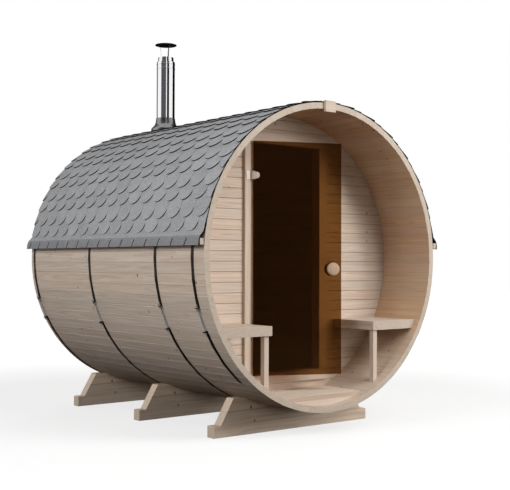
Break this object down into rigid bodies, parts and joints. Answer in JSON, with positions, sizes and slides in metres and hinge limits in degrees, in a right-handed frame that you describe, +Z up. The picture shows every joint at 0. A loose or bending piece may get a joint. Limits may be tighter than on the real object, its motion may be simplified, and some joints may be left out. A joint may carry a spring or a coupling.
{
  "type": "barrel sauna",
  "caption": "Stave barrel sauna lying on three cradles, with an open porch and two benches, a glazed door ajar, hoops, a shingled roof and a steel flue.",
  "frame": {"origin": "on the ground under the middle of the overall length and width", "axes": "+Z up, -Y out of the porch, +X to the right seen from the porch"},
  "size_m": [2.1372, 2.332, 2.944],
  "materials": {
    "timber": "planed, unpainted",
    "cradle_timber": "sawn, weathered",
    "knob_wood": "turned, smooth",
    "hoop_steel": "dark, satin",
    "zinc_steel": "zinc plated",
    "shingle": "mineral granules on bitumen felt",
    "stainless": "bright rolled",
    "tinted_glass": "bronze tinted, clear",
    "hinge_metal": "satin"
  },
  "bodies": {
    "sauna": {"staves_top": "timber", "staves_upper_left": "timber", "staves_left": "timber", "staves_lower_left": "timber", "staves_bottom": "timber", "staves_lower_right": "timber", "staves_right": "timber", "staves_upper_right": "timber", "front_wall_left": "timber", "front_wall_right": "timber", "front_wall_top": "timber", "front_wall_base": "timber", "rear_wall": "timber", "door_post_left": "timber", "door_post_right": "timber", "door_sill": "timber", "door_header": "timber", "porch_floor": "timber", "cabin_floor": "timber", "left_bench_seat": "timber", "right_bench_seat": "timber", "bench_legs": "timber", "cradle_front": "cradle_timber", "cradle_middle": "cradle_timber", "cradle_rear": "cradle_timber", "cradle_bases": "cradle_timber", "eaves_batten_left": "timber", "eaves_batten_right": "timber", "apex_block": "timber", "hoop_front": "hoop_steel", "hoop_second": "hoop_steel", "hoop_third": "hoop_steel", "hoop_rear": "hoop_steel", "tensioners_left": "zinc_steel", "tensioners_right": "zinc_steel", "roof_left": "shingle", "roof_right": "shingle", "flue_pipe": "stainless", "flue_cap": "stainless", "flue_flashing": "stainless", "hinge_brackets": "hinge_metal"},
    "door": {"door_glass": "tinted_glass", "door_knob_outside": "knob_wood", "door_knob_inside": "knob_wood", "hinge_clamps": "hinge_metal"}
  },
  "joints": [
    {"name": "door_hinge", "type": "hinge", "parent": "sauna", "child": "door", "pos_m": [-0.325, -0.719, 1.17], "axis": [0, 0, -1], "range_deg": [-24, 76]}
  ]
}
